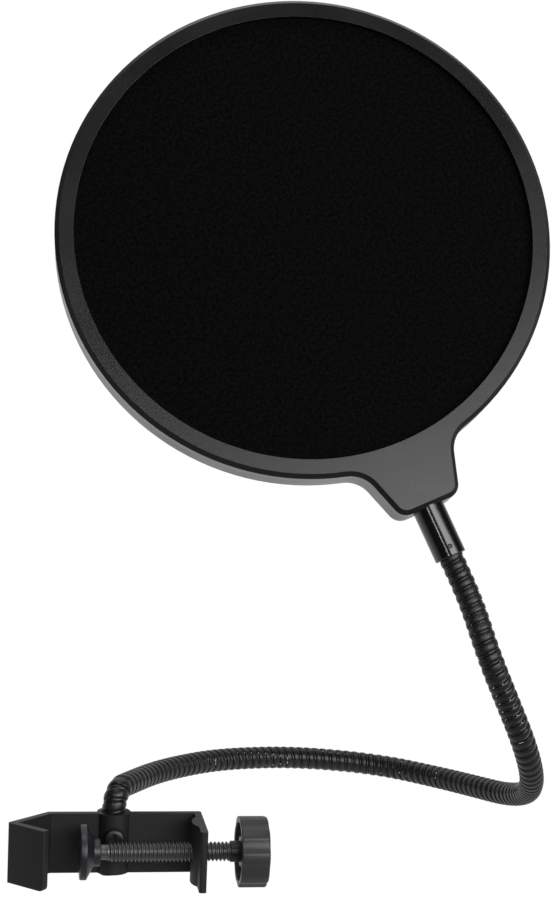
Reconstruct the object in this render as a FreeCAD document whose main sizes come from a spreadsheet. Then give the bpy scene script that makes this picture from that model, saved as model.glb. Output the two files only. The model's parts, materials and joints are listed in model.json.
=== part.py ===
import FreeCAD, Part
import math
import os
import re

import Sketcher
from FreeCAD import Placement, Rotation, Vector

# Clamp-on pop filter: a two-skin round screen on a gooseneck, held by a V-jaw clamp.
# Row frame, millimetres: the origin is the axis of the clamped stand tube at the clamp's
# mid-height, +X runs along the clamp screw towards its knob, +Z is up the tube.

X_AXIS, Y_AXIS, Z_AXIS = Vector(1, 0, 0), Vector(0, 1, 0), Vector(0, 0, 1)

SIZES = {
    # clamp bracket, an extruded V, web and flange
    "tube_dia": 16.0,            # stand tube that the jaw holds at rest
    "jaw_angle": 42.3,           # each V face to the screw's axis, degrees
    "bracket_wall": 2.4,
    "bracket_depth": 24.4,       # outside, flange's front edge to web
    "bracket_tall": 20.0,
    "lip_out": 10.4,             # screw's axis to the front lip's tip, along Y
    "lip_round": 2.0,            # lower corner of the lip
    "throat": 48.4,              # tube axis to the flange's outer face
    "boss_proud": 1.8,           # thread boss on the flange's inner face
    "boss_round": 9.7,
    "corner_round": 0.8,
    # small sizes shared by several pieces
    "ease": 0.4,                 # chamfer on a turned edge
    "fine_ease": 0.2,
    "end_gap": 0.1,              # between the end of a piece and its seat
    "overcut": 1.0,              # a cutting solid past the face that it cuts
    # neck socket in the web
    "socket_place": 19.5,        # socket axis along X
    "socket_wall": 1.5,
    "neck_slip": 0.05,           # neck to socket, on the radius
    "neck_up": 1.0,              # neck end above the socket's lower mouth
    "spot_depth": 0.4,           # flat cut into the socket under the screw's head
    "spot_room": 0.4,            # round the screw's head
    "plug_back": 1.0,            # base plug below the socket's upper mouth
    # neck fixing screw
    "head_clear": 1.675,         # its head to the clamp screw
    "fix_dia": 3.0,
    "fix_gap": 0.1,
    "fix_head_dia": 7.0,
    "fix_head_tall": 2.2,
    "fix_raise": 2.3,            # above the clamp's mid-height
    "fix_reach": 6.0,            # shank below the head
    "head_crown": 1.1,           # width of the head's slope
    "head_drop": 0.35,           # height of its upper part
    "head_side": 1.2,            # height of its straight side
    "drive_long": 4.0,           # cross recess
    "drive_wide": 0.9,
    "drive_deep": 1.2,
    # clamp screw
    "screw_dia": 6.35,
    "screw_slip": 0.05,
    "pivot_dia": 5.0,
    "pivot_out": 1.9,            # plain pivot seen between pad and thread
    "pilot_dia": 3.2,
    "pilot_slip": 0.06,
    "pilot_back": 0.5,           # pilot's end behind the pad's face
    "knob_gap": 8.7,             # flange to the knob's insert at rest
    "clip_dia": 6.8,
    "clip_thick": 0.4,
    "clip_seat": 2.5,            # groove diameter
    "clip_mouth": 2.0,
    "clip_slip": 0.05,
    # pressure pad
    "pad_clear": 0.9,            # rim to the web's inner face
    "pad_rim": 2.1,
    "pad_cone": 2.4,             # height of the slope from rim to hub
    "pad_hub_dia": 9.0,
    "pad_long": 6.6,
    "pad_recess_dia": 8.4,
    "pad_recess": 1.6,
    "pad_floor": 1.6,            # web of metal between recess and pivot bore
    # knob
    "knob_dia": 23.2,
    "knob_thick": 9.3,
    "knob_recess_dia": 19.0,
    "knob_recess": 4.0,
    "knob_hub_dia": 10.0,
    "knob_edge": 0.8,
    "hub_back": 0.6,             # hub behind the hollow side's rim
    "flute_count": 9,
    "flute_start": 5.5,          # degrees, first flute from straight down
    "flute_round": 6.0,
    "flute_deep": 0.7,
    "insert_wall": 0.28,
    "insert_out": 2.7,
    "insert_in": 5.6,
    # gooseneck: a round-wire spring inside a wedge-wire wrap, each drawn as its envelope
    "neck_dia": 8.0,
    "wrap_wall": 0.75,
    "wire_gap": 0.05,
    "spring_wall": 0.9,
    "bend_gap": 1.2,             # free length at each bending place
    "plug_slip": 0.05,
    # screen
    "ring_dia": 162.0,
    "face_wide": 6.15,
    "front_deep": 6.2,           # front face to the seam
    "rear_deep": 7.0,
    "skin": 1.8,                 # moulded wall of both shells
    "tongue_long": 1.6,
    "tongue_wall": 0.9,
    "tongue_slip": 0.1,
    "edge_break": 0.5,           # rear shell's rim
    "face_slope": 1.4,           # sloped rim round the front face
    "mesh_thick": 0.3,
    "mesh_tuck": 0.3,            # mesh rim to the rear shell's tongue
    "hoop_wall": 2.6,
    # tab that joins the screen to the neck
    "tab_long": 16.4,            # past the ring
    "tab_foot": 20.4,            # width at its end, before rounding
    "tab_root": 32.6,            # width where it meets the ring
    "tab_blend": 9.5,
    "tab_corner": 4.7,
    # ferrule
    "ferrule_slip": 0.1,         # neck to bore, on the radius
    "ferrule_wall": 1.05,
    "ferrule_out": 17.1,
    "ferrule_in": 14.0,
    "ferrule_groove": 0.55,
    "groove_wide": 2.0,
    "groove_place": 7.0,         # groove's middle, in from the tab's end
    "shell_slip": 0.05,
    "neck_in": 14.0,             # neck inside the ferrule
    "pin_dia": 1.6,
    "pin_place": 3.0,            # pin's axis from the ferrule's mouth
    "pin_sunk": 0.3,
    "stud_end": 1.5,             # neck plug short of the ferrule's mouth
    # tab screws
    "tab_screw_dia": 2.5,
    "tab_screw_head": 4.6,
    "tab_head_tall": 1.6,
    "tab_head_sunk": 1.4,        # head's face below the rear face
    "slot_wide": 0.6,
    "slot_deep": 0.7,
    "tab_screw_side": 9.2,
    "tab_screw_up": 8.4,         # in from the tab's end
    "tab_screw_slip": 0.15,
    "tab_screw_floor": 1.4,      # plastic left in front of the screw's tip
    # head pose on the neck
    "face_turn": -2.8,           # degrees about Z
    "face_tilt": 16.8,           # degrees, the front face looks this far up
    "tab_clock": 24.7,           # degrees, tab from straight down, towards +X
}

# Where the neck leaves the socket it stands straight up to the first corner, the last
# corner lies on the ferrule's axis, and the corners between are chosen by hand.
RISE_TO_FIRST_CORNER = 7.5
NECK_CORNERS = [
    Vector(37.0, 45.0, 15.0),
    Vector(60.0, 68.5, 13.0),
    Vector(90.5, 82.0, 10.5),
    Vector(123.5, 84.0, 7.0),
    Vector(143.0, 60.0, 8.0),
    Vector(161.0, 14.5, 13.0),
    Vector(152.0, -23.0, 33.5),
    Vector(133.0, -31.0, 71.5),
]
NECK_MOUTH = Vector(122.1, -18.4, 101.4)     # where the neck enters the ferrule
RUN_BEFORE_MOUTH = 15.0
ARC_SHARE = 0.45                             # of the shorter run, taken up by an arc
VOLUME_SHARE = 0.01                          # a swept tube's volume may be this far out

doc = FreeCAD.newDocument("pop_filter")
sheet = doc.addObject("Spreadsheet::Sheet", "sizes")
for row, (alias, value) in enumerate(SIZES.items(), start=1):
    sheet.set("A%d" % row, alias.replace("_", " "))
    sheet.set("B%d" % row, str(value))
    sheet.setAlias("B%d" % row, alias)
doc.recompute()

parts = {}


def linked(text):
    """The formula with each alias pointing at the sheet."""
    return re.sub(r"[a-z][a-z_]*", lambda word: "sizes." + word.group()
                  if word.group() in SIZES else word.group(), str(text))


def number(text):
    """The formula's present value."""
    return float(sheet.evalExpression(linked(text)))


def bind(thing, **formulas):
    """Tie an object's properties to formulas of the sheet's cells."""
    for name, text in formulas.items():
        thing.setExpression(name.replace("__", "."), linked(text))
    return thing


def keep(thing, node, place=None):
    """Register a finished sub-part under the name that its file gets."""
    thing.Label = node
    if place is not None:
        thing.Placement = place
    parts[node] = thing
    return thing


def origin_part(body, role):
    """One of the body's own origin planes or axes."""
    return next(item for item in body.Origin.OriginFeatures if item.Role == role)


def outline(body, plane, corners, name):
    """A closed straight-sided sketch whose corners are formulas of the sheet."""
    sketch = body.newObject("Sketcher::SketchObject", name)
    sketch.AttachmentSupport = [(origin_part(body, plane), "")]
    sketch.MapMode = "FlatFace"
    places = [Vector(number(across), number(up), 0) for across, up in corners]
    count = len(places)
    for index, start in enumerate(places):
        sketch.addGeometry(Part.LineSegment(start, places[(index + 1) % count]), False)
    for index in range(count):
        sketch.addConstraint(Sketcher.Constraint("Coincident", index, 2, (index + 1) % count, 1))
    for index, (across, up) in enumerate(corners):
        for kind, text in (("DistanceX", across), ("DistanceY", up)):
            made = sketch.addConstraint(Sketcher.Constraint(kind, -1, 1, index, 1, number(text)))
            sketch.setExpression("Constraints[%d]" % made, linked(text))
    return sketch


def turned(name, corners):
    """A body turned about its own Z: corners are (radius, height) formulas."""
    body = doc.addObject("PartDesign::Body", name)
    sketch = outline(body, "XZ_Plane", corners, name + "_profile")
    spin = body.newObject("PartDesign::Revolution", name + "_turn")
    spin.Profile = sketch
    spin.ReferenceAxis = (sketch, ["V_Axis"])
    spin.Angle = 360
    return body


def extruded(name, corners, length, start="0"):
    """A body padded along its own Z from start: corners are (x, y) formulas."""
    body = doc.addObject("PartDesign::Body", name)
    sketch = outline(body, "XY_Plane", corners, name + "_profile")
    bind(sketch, AttachmentOffset__Base__z=start)
    pad = body.newObject("PartDesign::Pad", name + "_pad")
    pad.Profile = sketch
    bind(pad, Length=length)
    return body


def rod(name, radius, length, x="0", y="0", z="0", turn=None):
    """A plain cylinder along Z, or turned, with its foot at x, y, z."""
    solid = doc.addObject("Part::Cylinder", name)
    if turn is not None:
        solid.Placement = Placement(Vector(), turn)
    bind(solid, Radius=radius, Height=length, Placement__Base__x=x,
         Placement__Base__y=y, Placement__Base__z=z)
    return solid


def block(name, long, wide, tall, x="0", y="0", z="0"):
    """A plain box with its low corner at x, y, z."""
    solid = doc.addObject("Part::Box", name)
    return bind(solid, Length=long, Width=wide, Height=tall, Placement__Base__x=x,
                Placement__Base__y=y, Placement__Base__z=z)


def joined(name, pieces):
    """The union of several solids."""
    union = doc.addObject("Part::MultiFuse", name)
    union.Shapes = pieces
    union.Refine = True
    return union


def less(name, base, *tools):
    """The base with each tool cut away."""
    tool = tools[0] if len(tools) == 1 else joined(name + "_tools", list(tools))
    cut = doc.addObject("Part::Cut", name)
    cut.Base = base
    cut.Tool = tool
    return cut


def picked(shape, test):
    """Numbers of the edges that pass a test, as Part's fillets want them."""
    return [index for index, edge in enumerate(shape.Edges, start=1) if test(edge)]


def eased(name, base, kind, radius, test):
    """Fillet or chamfer the edges that pass a test."""
    doc.recompute()
    feature = doc.addObject("Part::" + kind, name)
    feature.Base = base
    size = number(radius)
    feature.Edges = [(index, size, size) for index in picked(base.Shape, test)]
    if not feature.Edges:
        raise RuntimeError(name + " found no edge")
    return feature


ALONG_X = Rotation(Y_AXIS, 90)       # a part's own Z laid along +X
ALONG_Y = Rotation(X_AXIS, -90)      # and along +Y

# ---------------------------------------------------------------- clamp bracket

APEX = "-(tube_dia/2 + bracket_wall)/sin(jaw_angle)"
HALF = "bracket_depth/2"
INNER_APEX = "-(tube_dia/2)/sin(jaw_angle)"
LIP_X = APEX + " + lip_out/tan(jaw_angle)"
WEB_X = APEX + " + %s/tan(jaw_angle)" % HALF
WEB_INNER = "bracket_depth/2 - bracket_wall"
FLANGE_INNER = "throat - bracket_wall"
SOCKET_RADIUS = "(neck_dia/2 + neck_slip + socket_wall)"
SPOT_Y = "(screw_dia/2 + head_clear + fix_head_tall)"
SOCKET_Y = "(%s + %s - spot_depth)" % (SPOT_Y, SOCKET_RADIUS)
NEAR = 0.01                          # how close two places are that count as one


def clamp_bracket():
    """V-jaw, web and flange in one section, with the neck socket and the tapped boss."""
    profile = extruded("bracket_section", [
        (APEX, "0"),
        (LIP_X, "-lip_out"),
        (LIP_X + " + bracket_wall*sin(jaw_angle)", "-lip_out + bracket_wall*cos(jaw_angle)"),
        (INNER_APEX, "0"),
        (INNER_APEX + " + (%s)/tan(jaw_angle)" % WEB_INNER, WEB_INNER),
        (FLANGE_INNER, WEB_INNER),
        (FLANGE_INNER, "-" + HALF),
        ("throat", "-" + HALF),
        ("throat", HALF),
        (WEB_X, HALF),
    ], "bracket_tall", "-bracket_tall/2")

    def lip_corner(edge):
        low = all(abs(vertex.Point.z + number("bracket_tall/2")) < NEAR for vertex in edge.Vertexes)
        tip = min(vertex.Point.y for vertex in edge.Vertexes)
        return low and abs(tip + number("lip_out")) < NEAR and abs(
            edge.Length - number("bracket_wall")) < NEAR

    def outer_corner(edge):
        ends = [vertex.Point for vertex in edge.Vertexes]
        upright = len(ends) == 2 and abs(ends[0].z - ends[1].z) > number("bracket_tall")/2
        deep = abs(abs(ends[0].y) - number(HALF)) < NEAR
        front = min(abs(ends[0].x - number(APEX)), abs(ends[0].y + number("lip_out"))) < NEAR
        return upright and (deep or front)

    lipped = eased("bracket_lip", profile, "Fillet", "lip_round", lip_corner)
    rounded = eased("bracket_rounded", lipped, "Fillet", "corner_round", outer_corner)
    socket = rod("socket_tube", SOCKET_RADIUS, "bracket_tall", "socket_place", SOCKET_Y,
                 "-bracket_tall/2")
    boss_round = rod("boss_cylinder", "boss_round", "bracket_tall",
                     FLANGE_INNER + " - boss_proud + boss_round", "0", "-bracket_tall/2")
    boss_room = block("boss_room", "boss_proud + bracket_wall/2", "bracket_depth",
                      "bracket_tall", FLANGE_INNER + " - boss_proud", "-" + HALF,
                      "-bracket_tall/2")
    boss = doc.addObject("Part::Common", "flange_boss")
    boss.Base, boss.Tool = boss_round, boss_room
    body = joined("bracket_body", [rounded, socket, boss])
    bore = rod("socket_bore", "neck_dia/2 + neck_slip", "bracket_tall + 2*overcut",
               "socket_place", SOCKET_Y, "-bracket_tall/2 - overcut")
    tapped = rod("tapped_hole", "screw_dia/2 + screw_slip",
                 "bracket_wall + boss_proud + 2*overcut",
                 FLANGE_INNER + " - boss_proud - overcut", turn=ALONG_X)
    spot = rod("spot_face", "fix_head_dia/2 + spot_room", "bracket_wall + overcut",
               "socket_place", SPOT_Y + " - bracket_wall - overcut", "fix_raise", ALONG_Y)
    shank = rod("fix_hole", "fix_dia/2 + fix_gap", SOCKET_RADIUS, "socket_place",
                SPOT_Y + " - overcut", "fix_raise", ALONG_Y)
    keep(less("bracket", body, bore, tapped, spot, shank), "clamp_bracket")


def neck_fixings():
    """The plug in the neck's lower end and the screw that holds it in the socket."""
    foot = Vector(number("socket_place"), number(SOCKET_Y), number("-bracket_tall/2 + neck_up"))
    plug_long = "bracket_tall - neck_up - plug_back"
    plug = turned("base_plug", [
        ("0", "0"), (PLUG_RADIUS + " - ease", "0"), (PLUG_RADIUS, "ease"),
        (PLUG_RADIUS, plug_long + " - ease"), (PLUG_RADIUS + " - ease", plug_long),
        ("0", plug_long)])
    plug.Placement = Placement(foot, Rotation())
    tapping = rod("plug_tapping", "fix_dia/2", "fix_reach", "socket_place",
                  SPOT_Y, "fix_raise", ALONG_Y)
    keep(less("plug_cut", plug, tapping), "neck_base_plug")
    if number("fix_raise + fix_dia/2") > number("bracket_tall/2 - plug_back - ease"):
        raise RuntimeError("the base plug is too short for its screw")

    screw = turned("fix_screw_body", [
        ("0", "-fix_head_tall"), ("fix_head_dia/2 - head_crown", "-fix_head_tall"),
        ("fix_head_dia/2 - head_drop", "-fix_head_tall + head_drop"),
        ("fix_head_dia/2", "-head_side"), ("fix_head_dia/2", "0"),
        ("fix_dia/2", "0"), ("fix_dia/2", "fix_reach - ease"),
        ("fix_dia/2 - ease", "fix_reach"), ("0", "fix_reach")])
    slots = []
    for index, (long_side, short_side) in enumerate([("drive_long", "drive_wide"),
                                                     ("drive_wide", "drive_long")]):
        slots.append(block("drive_slot_%d" % index, long_side, short_side,
                           "drive_deep + overcut", "-%s/2" % long_side, "-%s/2" % short_side,
                           "-fix_head_tall - overcut"))
    place = Placement(Vector(number("socket_place"), number(SPOT_Y), number("fix_raise")),
                      ALONG_Y)
    keep(less("fix_screw", screw, *slots), "neck_screw", place)


# ---------------------------------------------------------------- screw, pad and knob

PAD_FACE = "tube_dia/2"
PIVOT_STEP = "pad_recess + pad_floor"
CLIP_AT = "pad_recess - clip_thick - clip_slip"
PAD_RADIUS = "(bracket_depth/2 - bracket_wall - pad_clear)"
INSERT_AT = "throat + knob_gap"
INSERT_RADIUS = "(screw_dia/2 + insert_wall)"
KNOB_AT = INSERT_AT + " + insert_out"


def pressure_pad():
    """A dished disc whose hub turns on the end of the clamp screw."""
    pad = turned("pad_body", [
        ("pad_recess_dia/2", "0"), (PAD_RADIUS + " - ease", "0"), (PAD_RADIUS, "ease"),
        (PAD_RADIUS, "pad_rim"), (PAD_RADIUS + " - ease", "pad_rim + ease"),
        ("pad_hub_dia/2", "pad_rim + pad_cone"), ("pad_hub_dia/2", "pad_long"),
        ("pivot_dia/2 + pilot_slip", "pad_long"), ("pivot_dia/2 + pilot_slip", PIVOT_STEP),
        ("pilot_dia/2 + pilot_slip", PIVOT_STEP), ("pilot_dia/2 + pilot_slip", "pad_recess"),
        ("pad_recess_dia/2", "pad_recess")])
    keep(pad, "pressure_pad", Placement(Vector(number(PAD_FACE), 0, 0), ALONG_X))


def clamp_screw():
    """Stepped screw: a grooved pilot, a plain pivot, and the thread's full diameter."""
    reach = "(%s + insert_out + insert_in - (%s))" % (INSERT_AT, PAD_FACE)
    screw = turned("screw_body", [
        ("0", "pilot_back"), ("pilot_dia/2 - fine_ease", "pilot_back"),
        ("pilot_dia/2", "pilot_back + fine_ease"),
        ("pilot_dia/2", CLIP_AT), ("clip_seat/2", CLIP_AT),
        ("clip_seat/2", CLIP_AT + " + clip_thick"), ("pilot_dia/2", CLIP_AT + " + clip_thick"),
        ("pilot_dia/2", PIVOT_STEP + " + clip_slip"), ("pivot_dia/2", PIVOT_STEP + " + clip_slip"),
        ("pivot_dia/2", "pad_long + pivot_out"),
        ("screw_dia/2", "pad_long + pivot_out + (screw_dia - pivot_dia)/2"),
        ("screw_dia/2", reach), ("0", reach)])
    keep(screw, "clamp_screw", Placement(Vector(number(PAD_FACE), 0, 0), ALONG_X))

    ring = turned("clip_ring", [("clip_seat/2", "0"), ("clip_dia/2", "0"),
                                ("clip_dia/2", "clip_thick"), ("clip_seat/2", "clip_thick")])
    mouth = block("clip_gap", "clip_dia", "clip_mouth", "clip_thick + 2*overcut", "0",
                  "-clip_mouth/2", "-overcut")
    keep(less("clip_open", ring, mouth), "pad_clip",
         Placement(Vector(number(PAD_FACE + " + " + CLIP_AT), 0, 0), ALONG_X))


def knob():
    """Fluted knob with a hollow back, moulded round a threaded insert."""
    blank = turned("knob_blank", [
        (INSERT_RADIUS, "hub_back"), ("knob_hub_dia/2", "hub_back"),
        ("knob_hub_dia/2", "knob_recess"),
        ("knob_recess_dia/2", "knob_recess"), ("knob_recess_dia/2", "0"),
        ("knob_dia/2 - knob_edge/2", "0"), ("knob_dia/2", "knob_edge/2"),
        ("knob_dia/2", "knob_thick - knob_edge"), ("knob_dia/2 - knob_edge", "knob_thick"),
        ("0", "knob_thick"), ("0", "insert_in"), (INSERT_RADIUS, "insert_in")])
    out = "(knob_dia/2 + flute_round - flute_deep)"
    flutes = []
    for index in range(int(number("flute_count"))):
        bearing = "(flute_start + 360*%d/flute_count)" % index
        flutes.append(rod("flute_%d" % index, "flute_round", "knob_thick + 2*overcut",
                          "%s*cos(%s)" % (out, bearing), "%s*sin(%s)" % (out, bearing),
                          "-overcut"))
    place = Placement(Vector(number(KNOB_AT), 0, 0), ALONG_X)
    keep(less("knob_fluted", blank, *flutes), "knob", place)

    insert = turned("insert_body", [
        ("screw_dia/2", "-insert_out"), (INSERT_RADIUS + " - fine_ease", "-insert_out"),
        (INSERT_RADIUS, "-insert_out + fine_ease"), (INSERT_RADIUS, "insert_in"),
        ("screw_dia/2", "insert_in")])
    keep(insert, "knob_insert", place)


# ---------------------------------------------------------------- head

TURN_HEAD = (Rotation(Z_AXIS, number("face_turn")) * Rotation(X_AXIS, 90 - number("face_tilt"))
             * Rotation(Z_AXIS, number("tab_clock")))
TAB_DOWN = TURN_HEAD.multVec(Vector(0, -1, 0))
RING_RADIUS = "ring_dia/2"
TAB_END = "(ring_dia/2 + tab_long)"
SCREW_Y = "-" + TAB_END + " + tab_screw_up"
SCREW_SIDES = ("-tab_screw_side", "tab_screw_side")
HEAD_PLACE = Placement(NECK_MOUTH - TAB_DOWN * number(TAB_END + " + ferrule_out"), TURN_HEAD)
OPENING = "(ring_dia/2 - face_wide)"
TONGUE_OUT = "(ring_dia/2 - skin - tongue_slip)"
MESH_RADIUS = "(ring_dia/2 - skin - tongue_slip - tongue_wall - mesh_tuck)"
FERRULE_BORE = "(neck_dia/2 + ferrule_slip)"
FERRULE_RADIUS = "(neck_dia/2 + ferrule_slip + ferrule_wall)"
MESH_DEPTH_FRONT = "(front_deep - skin)"
MESH_DEPTH_REAR = "(rear_deep - skin)"


def tab(name, deep, start):
    """The flared tab of one shell, from inside the ring's wall to the tab's end."""
    inside = "-sqrt((ring_dia/2 - skin/2)^2 - tab_root^2/4)"
    flare = extruded(name + "_flare", [
        ("-tab_root/2", inside), ("-tab_foot/2", "-" + TAB_END),
        ("tab_foot/2", "-" + TAB_END), ("tab_root/2", inside)], deep, start)
    room = rod(name + "_room", "ring_dia/2 - skin", deep + " + 2*overcut",
               z=start + " - overcut")
    return less(name, flare, room)


def shell(name, node, profile, deep, start, face, slope, tools):
    """One moulded half of the screen: turned ring, flared tab, blends, sloped rim and cuts."""
    ring = turned(name + "_ring", profile)
    whole = joined(name + "_whole", [ring, tab(name + "_tab", deep, start)])

    def upright(edge):
        ends = [vertex.Point for vertex in edge.Vertexes]
        if len(ends) != 2 or abs(abs(ends[0].z - ends[1].z) - number(deep)) > NEAR:
            return False
        return abs(ends[0].x - ends[1].x) < NEAR and abs(ends[0].y - ends[1].y) < NEAR

    def root(edge):
        spot = edge.Vertexes[0].Point
        out = Vector(spot.x, spot.y).Length
        return upright(edge) and spot.y < 0 and abs(out - number(RING_RADIUS)) < NEAR

    def foot(edge):
        return upright(edge) and abs(edge.Vertexes[0].Point.y + number(TAB_END)) < NEAR

    def rim(edge):
        flat = all(abs(vertex.Point.z - face) < NEAR for vertex in edge.Vertexes)
        far = all(Vector(vertex.Point.x, vertex.Point.y).Length > number("ring_dia/2 - skin")
                  for vertex in edge.Vertexes)
        return flat and far and abs(edge.CenterOfMass.z - face) < NEAR

    blended = eased(name + "_blended", whole, "Fillet", "tab_blend", root)
    cornered = eased(name + "_cornered", blended, "Fillet", "tab_corner", foot)
    broken = eased(name + "_broken", cornered, "Chamfer", slope, rim)
    keep(less(name + "_cut", broken, *tools), node, HEAD_PLACE)


def ferrule_channel(name):
    """The room that both shells leave for the ferrule, with its retaining rib."""
    radius = FERRULE_RADIUS + " + shell_slip"
    rib = FERRULE_RADIUS + " - ferrule_groove + shell_slip"
    near = "(groove_place - groove_wide/2 + shell_slip)"
    far = "(groove_place + groove_wide/2 - shell_slip)"
    end = "ferrule_in + 2*end_gap"
    room = turned(name, [("0", "-overcut"), (radius, "-overcut"), (radius, near), (rib, near),
                         (rib, far), (radius, far), (radius, end), ("0", end)])
    room.Placement = Placement(Vector(0, -number(TAB_END), 0), ALONG_Y)
    return room


def shells():
    """Front and rear shells, seamed at the ferrule's axis."""
    pilots = [rod("front_pilot_%d" % index, "tab_screw_dia/2",
                  "front_deep - tab_screw_floor + overcut", side, SCREW_Y, "-overcut")
              for index, side in enumerate(SCREW_SIDES)]
    shell("front", "front_shell", [
        (OPENING, "front_deep"), (RING_RADIUS, "front_deep"), (RING_RADIUS, "0"),
        ("ring_dia/2 - skin", "0"), ("ring_dia/2 - skin", MESH_DEPTH_FRONT),
        (OPENING, MESH_DEPTH_FRONT)],
        "front_deep", "0", number("front_deep"), "face_slope",
        [ferrule_channel("front_channel")] + pilots)
    clearances = []
    for index, side in enumerate(SCREW_SIDES):
        clearances.append(rod("rear_hole_%d" % index, "tab_screw_dia/2 + tab_screw_slip",
                              "rear_deep + 2*overcut", side, SCREW_Y, "-rear_deep - overcut"))
        clearances.append(rod("rear_sink_%d" % index, "tab_screw_head/2 + tab_screw_slip",
                              "tab_head_sunk + tab_head_tall + overcut", side, SCREW_Y,
                              "-rear_deep - overcut"))
    shell("rear", "rear_shell", [
        (OPENING, "-rear_deep"), (RING_RADIUS, "-rear_deep"), (RING_RADIUS, "0"),
        (TONGUE_OUT, "0"), (TONGUE_OUT, "tongue_long"),
        (TONGUE_OUT + " - tongue_wall", "tongue_long"),
        (TONGUE_OUT + " - tongue_wall", "-" + MESH_DEPTH_REAR), (OPENING, "-" + MESH_DEPTH_REAR)],
        "rear_deep", "-rear_deep", -number("rear_deep"), "edge_break",
        [ferrule_channel("rear_channel")] + clearances)


def screens():
    """The two stretched mesh discs and the hoop that holds them apart."""
    for node, foot in (("front_mesh", "%s - mesh_thick" % MESH_DEPTH_FRONT),
                       ("rear_mesh", "-%s" % MESH_DEPTH_REAR)):
        disc = turned(node + "_disc", [("0", foot), (MESH_RADIUS, foot),
                                       (MESH_RADIUS, foot + " + mesh_thick"),
                                       ("0", foot + " + mesh_thick")])
        keep(disc, node, HEAD_PLACE)
    low, high = "-%s + mesh_thick" % MESH_DEPTH_REAR, "%s - mesh_thick" % MESH_DEPTH_FRONT
    hoop = turned("hoop_ring", [("%s - hoop_wall" % MESH_RADIUS, low), (MESH_RADIUS, low),
                                (MESH_RADIUS, high), ("%s - hoop_wall" % MESH_RADIUS, high)])
    keep(hoop, "mesh_hoop", HEAD_PLACE)


def ferrule():
    """Metal sleeve held in the tab, the plug in the neck's end, and their cross pin."""
    whole = "(ferrule_in + ferrule_out)"
    groove = "(ferrule_out + groove_place)"
    sleeve = turned("ferrule_sleeve", [
        (FERRULE_BORE, "0"), (FERRULE_RADIUS + " - fine_ease", "0"),
        (FERRULE_RADIUS, "fine_ease"), (FERRULE_RADIUS, groove + " - groove_wide/2"),
        (FERRULE_RADIUS + " - ferrule_groove", groove + " - groove_wide/2"),
        (FERRULE_RADIUS + " - ferrule_groove", groove + " + groove_wide/2"),
        (FERRULE_RADIUS, groove + " + groove_wide/2"), (FERRULE_RADIUS, whole),
        (FERRULE_BORE, whole)])
    mouth_place = Placement(NECK_MOUTH, TURN_HEAD * ALONG_Y)
    across = "2*%s + 2*overcut" % FERRULE_RADIUS
    near_side = "-%s - overcut" % FERRULE_RADIUS
    cross = rod("ferrule_pin_hole", "pin_dia/2", across, "0", near_side, "pin_place", ALONG_Y)
    keep(less("ferrule_drilled", sleeve, cross), "ferrule", mouth_place)

    plug_length = "(%s - stud_end)" % whole
    stud = turned("top_stud", [
        ("0", "stud_end"), (PLUG_RADIUS + " - ease", "stud_end"),
        (PLUG_RADIUS, "stud_end + ease"), (PLUG_RADIUS, "neck_in + end_gap"),
        (FERRULE_BORE, "neck_in + end_gap"), (FERRULE_BORE, plug_length), ("0", plug_length)])
    stud_cross = rod("stud_pin_hole", "pin_dia/2", across, "0", near_side, "pin_place", ALONG_Y)
    keep(less("stud_drilled", stud, stud_cross), "neck_top_plug", mouth_place)

    pin = rod("ferrule_pin_body", "pin_dia/2", "2*%s - 2*pin_sunk" % FERRULE_RADIUS, "0",
              "-%s + pin_sunk" % FERRULE_RADIUS, "pin_place", ALONG_Y)
    tips = doc.addObject("Part::Chamfer", "ferrule_pin_tips")
    doc.recompute()
    tips.Base = pin
    tip = number("fine_ease")
    tips.Edges = [(index, tip, tip) for index in picked(pin.Shape, lambda edge: edge.Closed)]
    keep(tips, "ferrule_pin", mouth_place)


def tab_screws():
    """Two self-tapping screws from the rear, one node."""
    bodies = []
    head_face = "-rear_deep + tab_head_sunk"
    for index, side in enumerate(SCREW_SIDES):
        head = rod("tab_head_%d" % index, "tab_screw_head/2", "tab_head_tall", side, SCREW_Y,
                   head_face)
        shank = rod("tab_shank_%d" % index, "tab_screw_dia/2",
                    "rear_deep - tab_head_sunk - tab_head_tall + front_deep - tab_screw_floor",
                    side, SCREW_Y, head_face + " + tab_head_tall")
        slot = block("tab_slot_%d" % index, "tab_screw_head + 2*overcut", "slot_wide",
                     "slot_deep + overcut", "%s - tab_screw_head/2 - overcut" % side,
                     SCREW_Y + " - slot_wide/2", head_face + " - overcut")
        bodies.append(less("tab_screw_%d" % index, joined("tab_screw_body_%d" % index,
                                                          [head, shank]), slot))
    pair = doc.addObject("Part::Compound", "tab_screw_pair")
    pair.Links = bodies
    keep(pair, "shell_screws", HEAD_PLACE)


# ---------------------------------------------------------------- gooseneck

WRAP_INNER = "(neck_dia/2 - wrap_wall)"
SPRING_OUTER = "(neck_dia/2 - wrap_wall - wire_gap)"
SPRING_INNER = "(neck_dia/2 - wrap_wall - wire_gap - spring_wall)"
PLUG_RADIUS = "(neck_dia/2 - wrap_wall - wire_gap - spring_wall - plug_slip)"


def neck_route():
    """Corners of the neck's centreline, from the socket's mouth to the ferrule's."""
    mouth = Vector(number("socket_place"), number(SOCKET_Y), number("bracket_tall/2"))
    first = mouth + Z_AXIS * RISE_TO_FIRST_CORNER
    last = NECK_MOUTH + TAB_DOWN * RUN_BEFORE_MOUTH
    return [mouth, first] + NECK_CORNERS + [last, NECK_MOUTH]


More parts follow.
